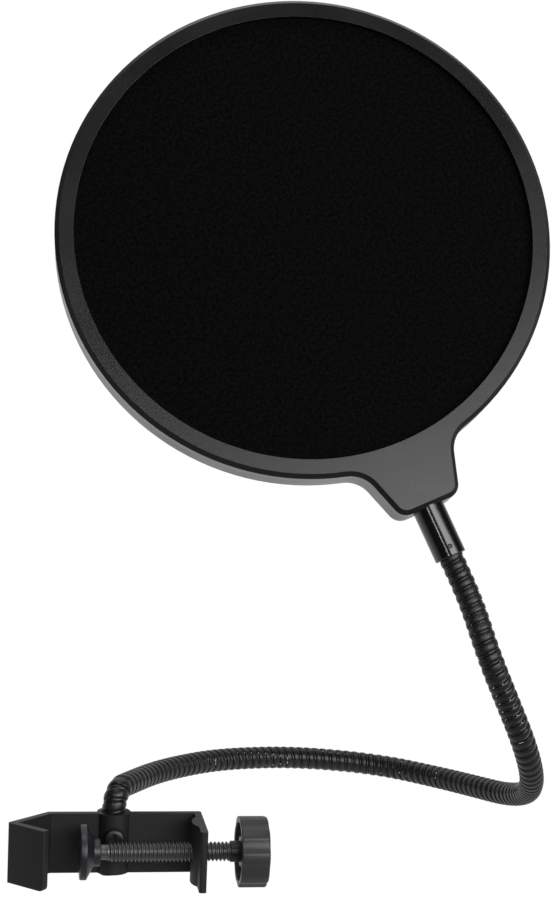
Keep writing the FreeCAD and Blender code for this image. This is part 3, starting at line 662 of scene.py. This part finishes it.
@dataclass
class Knob:
    """The fluted knob, hollow on the side that faces the clamp, and its insert."""

    start: float = 59.8             # hollow side's rim along X
    radius: float = 11.6
    thick: float = 9.3
    hollow: float = 9.5
    hollow_deep: float = 4.0
    hub: float = 5.0
    hub_back: float = 0.6
    bore: float = 3.455
    bore_deep: float = 5.6
    flutes: int = 9
    flute_radius: float = 6.0
    flute_deep: float = 0.7
    first_flute: float = 5.5
    flute_soft: float = 0.09
    bore_soft: float = 0.1
    hub_soft: float = 0.25
    hub_root: float = 0.4
    hollow_root: float = 0.5
    mouth_soft: float = 0.3
    rim_soft: float = 0.45
    back_soft: float = 0.9
    insert_out: float = 2.7
    insert_inner: float = 3.18
    insert_soft: tuple[float, float] = (0.05, 0.12)     # inner and outer corner
    insert_steps: int = 48
    steps: int = 216

    def rim(self, angle: np.ndarray) -> np.ndarray:
        """Outer radius at each angle.

        A flute is a circle of radius q whose centre is D = R + q - deep out. Its near side is
        D cos f - sqrt(q^2 - D^2 sin^2 f) at an angle f from its middle. The rim is the softened
        minimum, -k log(exp(-R / k) + exp(-flute / k)), of the knob's circle and the flute.
        """
        gap = TURN / self.flutes
        off = (angle - math.radians(self.first_flute) + gap / 2) % gap - gap / 2
        out = self.radius + self.flute_radius - self.flute_deep
        under = self.flute_radius ** 2 - (out * np.sin(off)) ** 2
        flute = np.where(under > 0, out * np.cos(off) - np.sqrt(np.maximum(under, 0)), out)
        excess = np.exp(-(flute - self.radius) / self.flute_soft)
        return self.radius - self.flute_soft * np.log1p(excess)

    def build(self) -> None:
        """Builds the fluted body and the metal insert."""
        outline = rounded([
            (0, self.bore_deep, 0), (self.bore, self.bore_deep, 0),
            (self.bore, self.hub_back, self.bore_soft), (self.hub, self.hub_back, self.hub_soft),
            (self.hub, self.hollow_deep, self.hub_root),
            (self.hollow, self.hollow_deep, self.hollow_root), (self.hollow, 0, self.mouth_soft),
            (self.radius, 0, self.rim_soft), (self.radius, self.thick, self.back_soft),
            (0, self.thick, 0)], steps=5, closed=False)
        # The CAD knob counts its angles from straight down, round +X.
        angle, ring = circle(self.steps, KNOB_AXES)
        fluted = np.clip((outline[:, 0] - self.hollow) / (self.radius - self.hollow), 0, 1)
        radius = outline[:, :1] + fluted[:, None] * (self.rim(angle) - self.radius)[None, :]
        base = self.start * KNOB_AXES[2]
        points = base + outline[:, 1, None, None] * KNOB_AXES[2] + radius[..., None] * ring
        piece = new_piece("knob_body", points, grid_faces(len(outline), self.steps), sharp=40.0)
        piece.data.materials.append(KNOB.material())
        stands_for(piece, "screw", "knob")

        inner_soft, outer_soft = self.insert_soft
        collar = rounded([
            (self.insert_inner, -self.insert_out, inner_soft),
            (self.bore, -self.insert_out, outer_soft), (self.bore, self.bore_deep, 0),
            (self.insert_inner, self.bore_deep, 0)])
        points = lathed(collar, self.insert_steps, base, SCREW_AXES)
        faces = grid_faces(len(collar), self.insert_steps, close_rows=True)
        insert = new_piece("knob_collar", points, faces)
        insert.data.materials.append(DARK_STEEL.material())
        stands_for(insert, "screw", "knob_insert")


# ---------------------------------------------------------------- head

FACE_TURN = -2.8                # degrees about +Z
FACE_TILT = 16.8                # degrees that the face looks up
TAB_CLOCK = 24.7                # degrees that the tab is turned round the ring
NECK_MOUTH = np.array([122.1, -18.4, 101.4])      # where the neck enters the ferrule
RING_RADIUS = 81.0
TAB_LONG = 16.4                 # from the ring's edge to the tab's end
FERRULE_OUT = 17.1              # the ferrule's length outside the tab
TURN_HEAD = (spin_matrix("Z", FACE_TURN) @ spin_matrix("X", 90 - FACE_TILT)
             @ spin_matrix("Z", TAB_CLOCK))
TAB_DOWN = TURN_HEAD @ np.array([0.0, -1.0, 0.0])
HEAD_CENTRE = NECK_MOUTH - TAB_DOWN * (RING_RADIUS + TAB_LONG + FERRULE_OUT)


@dataclass
class Screen:
    """The two stretched nets, the shells round them and the fasteners."""

    net_radius: float = 77.9
    net_thick: float = 0.25
    front_face: float = 4.3         # outer side of the front net, in front of the seam
    rear_face: float = -5.1
    dish: float = 0.35              # how far the net's middle lies inwards
    rings: int = 28
    steps: int = 144
    shell_edge: float = 0.16
    screw_edge: float = 0.1

    def net(self, name: str, node: str, outer: float, inward: float) -> None:
        """One stretched net: a disc of two sides joined at the rim.

        At radius r the outer side lies at outer + inward * dish * (1 - (r / R)^2), and the
        inner side is the net's thickness behind it.

        Args:
            name: The piece's name.
            node: The CAD node that it stands for.
            outer: The outer side's height above the seam at the rim.
            inward: Plus or minus 1, the way to the inside along the head's axis.
        """
        radius = np.concatenate([np.linspace(0, self.net_radius, self.rings),
                                 np.linspace(self.net_radius, 0, self.rings)])
        behind = np.repeat([0.0, self.net_thick * inward], self.rings)
        height = outer + inward * self.dish * (1 - (radius / self.net_radius) ** 2) + behind
        points = lathed(np.stack([radius, height], 1), self.steps, HEAD_CENTRE, TURN_HEAD.T)
        piece = new_piece(name, points, grid_faces(len(radius), self.steps))
        flat = piece.data.uv_layers.new(name="flat")
        corners = np.empty(len(piece.data.loops), np.int32)
        piece.data.loops.foreach_get("vertex_index", corners)
        spots = np.empty(len(piece.data.vertices) * 3)
        piece.data.vertices.foreach_get("co", spots)
        own = (spots.reshape(-1, 3) - HEAD_CENTRE * MM) @ TURN_HEAD
        flat.data.foreach_set("uv", own[corners, :2].ravel())
        piece.data.materials.append(NET.material())
        stands_for(piece, "head", node)

    def build(self) -> None:
        """Builds the nets and eases the shells and their screws."""
        softened("front_shell", "front_ring", self.shell_edge, SHELL)
        softened("rear_shell", "rear_ring", self.shell_edge, SHELL_REAR)
        softened("shell_screws", "rear_screws", self.screw_edge, DARK_STEEL)
        self.net("front_net", "front_mesh", self.front_face, -1.0)
        self.net("rear_net", "rear_mesh", self.rear_face, 1.0)


@dataclass
class Ferrule:
    """The gloss sleeve between the neck and the tab."""

    edge: float = 0.12
    pin_edge: float = 0.05

    def build(self) -> None:
        """Eases the edges of the sleeve, the pin hole's among them, and of the pin."""
        softened("ferrule", "ferrule_sleeve", self.edge, GLOSS)
        softened("ferrule_pin", "ferrule_cross_pin", self.pin_edge, DARK_STEEL)


# ---------------------------------------------------------------- gooseneck


@dataclass
class Gooseneck:
    """A wedge-wire wrap wound over a round-wire spring along the neck's route."""

    corners: tuple[tuple[float, float, float], ...] = (
        (19.5, 12.2, 10.0), (19.5, 12.2, 17.5), (37.0, 45.0, 15.0), (60.0, 68.5, 13.0),
        (90.5, 82.0, 10.5), (123.5, 84.0, 7.0), (143.0, 60.0, 8.0), (161.0, 14.5, 13.0),
        (152.0, -23.0, 33.5), (133.0, -31.0, 71.5))
    foot: float = -9.0              # height of the neck's lower end, in the socket
    last_run: float = 15.0
    inside: float = 14.0            # length inside the ferrule
    arc_share: float = 0.45         # of a run, the most that one arc takes
    arc_points: int = 25
    step: float = 0.4               # between the points of the route
    smooth_over: float = 5.0        # length that the route is averaged over
    pitch: float = 3.05
    band: float = 4.0               # outer radius of the wrap's band
    band_edge: float = 3.86
    band_deep: float = 0.12         # depth of the band's straight edge
    band_half: float = 0.97
    crown_share: float = 0.4        # of the band's half width, where its crown starts to fall
    crown_round: float = 0.5
    edge_round: tuple[float, float] = (0.1, 0.08)     # outer and inner corner of the band
    wedge: float = 3.12             # inner radius of the wedge
    wedge_half: float = 0.42
    wire: float = 0.66              # radius of the spring's wire
    wire_at: float = 3.14
    wire_sides: int = 9
    per_turn: int = 26
    bare_foot: float = 6.0          # length of the route below the wires' start
    bare_top: float = 7.0           # and beyond their end
    bend_share: float = 0.3         # of the run, each side of a hinge, that bends
    side: tuple[float, float, float] = (-0.6, 0.2, -0.77)     # never along the neck
    line: np.ndarray = field(init=False)
    arcs: np.ndarray = field(init=False)

    def __post_init__(self) -> None:
        """Lays the route once."""
        self.line, self.arcs = self.route()

    def route_corners(self) -> np.ndarray:
        """The route's corners, from the socket's mouth to the ferrule's."""
        last = NECK_MOUTH + TAB_DOWN * self.last_run
        return np.concatenate([np.array(self.corners), [last, NECK_MOUTH]])

    def route(self) -> tuple[np.ndarray, np.ndarray]:
        """The centreline as evenly spaced points, and how far along it each corner's arc is.

        Each corner is rounded by an arc tangent to its runs, whose ends are arc_share of the
        shorter run away, where the first and last run count double, as each has one arc only.
        The line is then averaged over smooth_over, which eases the arcs into each other, with
        its ends held straight by running it on past them.

        Returns:
            The points, and the length from the first point to the middle of each arc.
        """
        corners = self.route_corners()
        count = len(corners)
        stretches = [corners[:1] * [1, 1, 0] + [0, 0, self.foot - 2 * self.smooth_over]]
        for index in range(1, count - 1):
            back, ahead = corners[index - 1] - corners[index], corners[index + 1] - corners[index]
            reach = self.arc_share * min(np.linalg.norm(back) * (2 if index == 1 else 1),
                                         np.linalg.norm(ahead) * (2 if index == count - 2 else 1))
            back, ahead = unit(back), unit(ahead)
            half = math.acos(float(back @ ahead)) / 2
            radius = reach * math.tan(half)
            centre = corners[index] + unit(back + ahead) * math.hypot(reach, radius)
            first = corners[index] + back * reach - centre
            last = corners[index] + ahead * reach - centre
            sweep = math.pi - 2 * half
            share = np.linspace(0, 1, self.arc_points)[:, None]
            stretches.append(centre + (np.sin((1 - share) * sweep) * first
                                       + np.sin(share * sweep) * last) / math.sin(sweep))
        stretches.append(NECK_MOUTH[None] - TAB_DOWN * (self.inside + 2 * self.smooth_over))
        line = np.concatenate(stretches)
        along = np.concatenate([[0], np.cumsum(np.linalg.norm(np.diff(line, axis=0), axis=1))])
        even = np.arange(0, along[-1], self.step)
        spots = np.stack([np.interp(even, along, line[:, way]) for way in range(3)], 1)
        width = int(self.smooth_over / self.step) | 1
        window = np.hanning(width + 2)[1:-1]
        window /= window.sum()
        eased = np.stack([np.convolve(spots[:, way], window, "valid") for way in range(3)], 1)
        nearest = np.linalg.norm(eased[:, None] - corners[None, 1:-1], axis=2).argmin(axis=0)
        return eased, nearest * self.step

    def wrap_section(self) -> np.ndarray:
        """The wrap's section: a crowned band on a wedge that points inwards."""
        shoulder = self.band_edge - self.band_deep
        crown = self.crown_share * self.band_half
        outer, inner = self.edge_round
        return rounded([
            (-self.wedge_half, self.wedge, 0), (-self.band_half, shoulder, inner),
            (-self.band_half, self.band_edge, outer), (-crown, self.band, self.crown_round),
            (crown, self.band, self.crown_round), (self.band_half, self.band_edge, outer),
            (self.band_half, shoulder, inner), (self.wedge_half, self.wedge, 0)], steps=2)

    def wire_section(self) -> np.ndarray:
        """The spring wire's section, a circle of few sides."""
        angle = np.arange(self.wire_sides) * TURN / self.wire_sides
        return np.stack([self.wire * np.cos(angle), self.wire_at + self.wire * np.sin(angle)], 1)

    def wound(self, name: str, start: float, stop: float, section: np.ndarray,
              offset: float) -> bpy.types.Object:
        """A wire of a closed section wound round the route from start to stop.

        The wire's angle is a = turn * d / pitch at a distance d along the route. With
        s = d + x + offset, a section point (x, r) lies at C(s) + r (cos a N(s) + sin a B(s)),
        where N is the side vector made square to the route's tangent T, and B is T cross N.

        Args:
            name: The piece's name.
            start: Where along the route the wire begins.
            stop: Where it ends.
            section: Distance along the neck and radius of each point of the section.
            offset: How far along the neck this wire lies from the first one.

        Returns:
            The new piece.
        """
        steps = round((stop - start) / self.pitch * self.per_turn)
        distance = np.linspace(start, stop, steps + 1)
        reach = distance[:, None] + section[None, :, 0] + offset
        angle = (distance * TURN / self.pitch)[:, None, None]
        even = np.arange(len(self.line)) * self.step
        centre = np.stack([np.interp(reach, even, self.line[:, way]) for way in range(3)], -1)
        slope = np.gradient(self.line, axis=0)
        along = unit(np.stack([np.interp(reach, even, slope[:, way]) for way in range(3)], -1))
        side = np.array(self.side)
        normal = unit(side - (along @ side)[..., None] * along)
        across = np.cross(along, normal)
        outwards = np.cos(angle) * normal + np.sin(angle) * across
        points = centre + section[None, :, 1, None] * outwards
        size = len(section)
        ends = [list(range(size)), [steps * size + index for index in range(size)]]
        return new_piece(name, points, grid_faces(steps + 1, size), sharp=60.0, ends=ends)

    def carry(self, piece: bpy.types.Object, index: int) -> None:
        """Rides an end length on the clamp or the head, and bakes any other one's transform into its
        mesh.
        """
        last = len(self.arcs)
        bodies = ["clamp"] + ["neck_%d" % number for number in range(2, last)] + ["head"]
        if index in (0, last):
            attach(piece, bodies[0 if index == 0 else -1])
            return
        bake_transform(piece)

    def build(self) -> None:
        """Winds both wires in lengths that meet in the arcs, the end ones riding on the clamp and the
        head.
        """
        wires = (("wrap", self.wrap_section(), 0.0, WIRE),
                 ("spring", self.wire_section(), self.pitch / 2, SPRING))
        total = (len(self.line) - 1) * self.step
        marks = [self.bare_foot, *self.arcs, total - self.bare_top]
        for index in range(len(marks) - 1):
            for kind, section, offset, finish in wires:
                piece = self.wound("%s_length_%02d" % (kind, index), marks[index],
                                   marks[index + 1], section, offset)
                piece.data.materials.append(finish.material())
                self.carry(piece, index)
                node = "neck_%s_%02d" % (kind, min(index + 1, len(self.arcs)))
                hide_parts(node)
                slotted(piece, node)


# ---------------------------------------------------------------- the rest


def dress_inner_nodes() -> None:
    """Gives the CAD nodes that stay as they are their finishes."""
    finishes = {"neck_base_plug": PLAIN_STEEL, "neck_top_plug": PLAIN_STEEL,
                "pad_clip": PLAIN_STEEL, "mesh_hoop": HOOP}
    for node, finish in finishes.items():
        frame["nodes"][node].material_slots[0].material = finish.material()
        LOG.info("%s keeps its CAD shape in %s", node, finish.name)


@dataclass(frozen=True)
class Lamp:
    """A rectangular soft light that faces the object."""

    name: str
    right: float                    # degrees to the camera's right, as seen from the object
    up: float                       # degrees above the horizon
    distance: float                 # metres from the object's centre
    width: float                    # metres
    height: float
    radiance: float                 # how bright its face is


LAMPS = (Lamp("wide_softbox", 38, 15, 0.9, 1.0, 0.5, 4.8),
         Lamp("strip_light", -12, 20, 0.9, 0.04, 0.45, 14.0),
         Lamp("top_front", -5, 76, 0.9, 0.5, 0.4, 2.4),
         Lamp("overhead", 180, 70, 1.6, 1.6, 1.6, 0.9))
WHITE = (1.0, 1.0, 1.0, 1.0)


@dataclass
class Studio:
    """White floor, soft lights and the camera."""

    eye: tuple[float, float, float] = (-22.6, -603.6, 188.1)
    yaw: float = 8.51               # degrees from +Y towards +X
    pitch: float = 5.2              # degrees down
    roll: float = 2.21              # degrees, its right side up
    lens: float = 76.0              # focal length for the standard sensor, in millimetres
    clip: tuple[float, float] = (0.01, 50.0)      # nearest and farthest seen, in metres
    floor_at: float = -60.0
    floor_reach: float = 6000.0
    floor_seen: float = 1.03        # its light for the camera
    floor_dark: tuple[float, float, float] = (0.97, 0.97, 0.97)
    mottle: float = 3.0             # scale of the noise over the floor
    centre: tuple[float, float, float] = (80.0, 10.0, 130.0)
    front_light: float = 0.03       # what the object gets from the floor and world before it
    rear_light: float = 0.9         # and from those behind it
    bright_over: tuple[float, float] = (0.1, 0.9)     # of a ray's Y, where the world brightens
    top_share: float = 0.3          # of the world's light, what is left overhead
    dim_over: tuple[float, float] = (0.2, 0.9)        # of a ray's Z, where it dims
    shade_from: float = -0.22       # where the floor's light starts, in metres along Y
    shade_to: float = 0.2

    def heading(self, right: float, up: float) -> np.ndarray:
        """Direction from the object, in degrees right of the camera and above the horizon."""
        yaw, turn, rise = map(math.radians, (self.yaw, right, up))
        back = np.array([-math.sin(yaw), -math.cos(yaw), 0])
        side = np.array([math.cos(yaw), -math.sin(yaw), 0])
        flat = back * math.cos(turn) + side * math.sin(turn)
        return flat * math.cos(rise) + np.array([0, 0, math.sin(rise)])

    def lamp(self, chosen: Lamp) -> None:
        """Sets up one lamp, whose power is pi times its radiance times its area."""
        light = bpy.data.lights.new(chosen.name, "AREA")
        light.shape = "RECTANGLE"
        light.size, light.size_y = chosen.width, chosen.height
        light.energy = math.pi * chosen.radiance * chosen.width * chosen.height
        lamp = bpy.data.objects.new(chosen.name, light)
        direction = Vector(self.heading(chosen.right, chosen.up))
        lamp.location = Vector(self.centre) * MM + direction * chosen.distance
        lamp.rotation_mode = "QUATERNION"
        lamp.rotation_quaternion = direction.to_track_quat("Z", "Y")
        bpy.context.scene.collection.objects.link(lamp)

    @staticmethod
    def glow(tree: Tree, kind: str, output: str, colour: object, seen: float,
             lit: bpy.types.NodeSocket) -> None:
        """Makes a tree shine with one strength for the camera and another for all else.

        Args:
            tree: The tree of the material or the world.
            kind: The type of its shining node.
            output: The type of its output node.
            colour: The colour, or a socket for it.
            seen: Strength for the camera.
            lit: Strength for light and reflections.
        """
        others, camera = (tree.node(kind, {"Color": colour, "Strength": strength}).outputs[0]
                          for strength in (lit, seen))
        path = tree.node("LightPath").outputs["Is Camera Ray"]
        both = tree.node("MixShader", {0: path, 1: others, 2: camera})
        tree.node(output, {0: both.outputs[0]})

    def world(self) -> None:
        """White behind the object, dimmer in front and overhead for what it reflects."""
        world = bpy.data.worlds.new("studio")
        bpy.context.scene.world = world
        world.use_nodes = True
        tree = Tree(world.node_tree)
        ray = tree.node("SeparateXYZ", {0: tree.node("TexCoord").outputs["Generated"]})
        behind = tree.spread(ray.outputs[1], self.front_light, self.rear_light, *self.bright_over)
        low = tree.spread(ray.outputs[2], 1.0, self.top_share, *self.dim_over)
        self.glow(tree, "Background", "OutputWorld", WHITE, 1.0,
                  tree.maths("MULTIPLY", behind, low))

    def floor(self) -> None:
        """A wide white floor that shines, faintly mottled and dimmer in front of the object."""
        spots = np.array([[across * self.floor_reach, back * self.floor_reach, self.floor_at]
                          for across, back in ((-1, -1), (1, -1), (1, 1), (-1, 1))])
        floor = new_piece("floor", spots, np.array([[0, 1, 2, 3]]))
        made = bpy.data.materials.new("pale_floor")
        made.use_nodes = True
        tree = Tree(made.node_tree)
        place = tree.node("TexCoord").outputs["Object"]
        noise = tree.node("TexNoise", {"Vector": place, "Scale": self.mottle}).outputs[0]
        colour = tree.blended(noise, self.floor_dark, WHITE[:3])
        back = tree.node("SeparateXYZ", {0: place}).outputs[1]
        lit = tree.spread(back, self.front_light, self.rear_light, self.shade_from, self.shade_to)
        self.glow(tree, "Emission", "OutputMaterial", colour, self.floor_seen, lit)
        floor.data.materials.append(made)

    def camera(self) -> None:
        """The camera: its forward direction from yaw and pitch, then turned by its roll."""
        yaw, pitch, roll = map(math.radians, (self.yaw, self.pitch, self.roll))
        ahead = Vector((math.sin(yaw) * math.cos(pitch), math.cos(yaw) * math.cos(pitch),
                        -math.sin(pitch)))
        level = Vector((math.cos(yaw), -math.sin(yaw), 0))
        above = level.cross(ahead)
        right = level * math.cos(roll) + above * math.sin(roll)
        up = above * math.cos(roll) - level * math.sin(roll)
        data = bpy.data.cameras.new("camera")
        data.lens = self.lens
        data.clip_start, data.clip_end = self.clip
        camera = bpy.data.objects.new("camera", data)
        turn = Matrix((right, up, -ahead)).transposed().to_4x4()
        camera.matrix_world = Matrix.Translation(Vector(self.eye) * MM) @ turn
        bpy.context.scene.collection.objects.link(camera)
        bpy.context.scene.camera = camera

    def build(self) -> None:
        """Sets up the camera, the floor, the world and the lamps."""
        self.camera()
        self.floor()
        self.world()
        for chosen in LAMPS:
            self.lamp(chosen)
        bpy.context.scene.view_settings.view_transform = "Standard"


def main() -> None:
    """Builds every sub-assembly and the studio."""
    logging.basicConfig(level=logging.INFO, format="%(name)s: %(message)s")
    Studio().build()
    ClampBracket().build()
    ClampScrew().build()
    PressurePad().build()
    Knob().build()
    Screen().build()
    Ferrule().build()
    Gooseneck().build()
    dress_inner_nodes()
    bpy.context.view_layer.update()


if __name__ == "__main__":
    main()
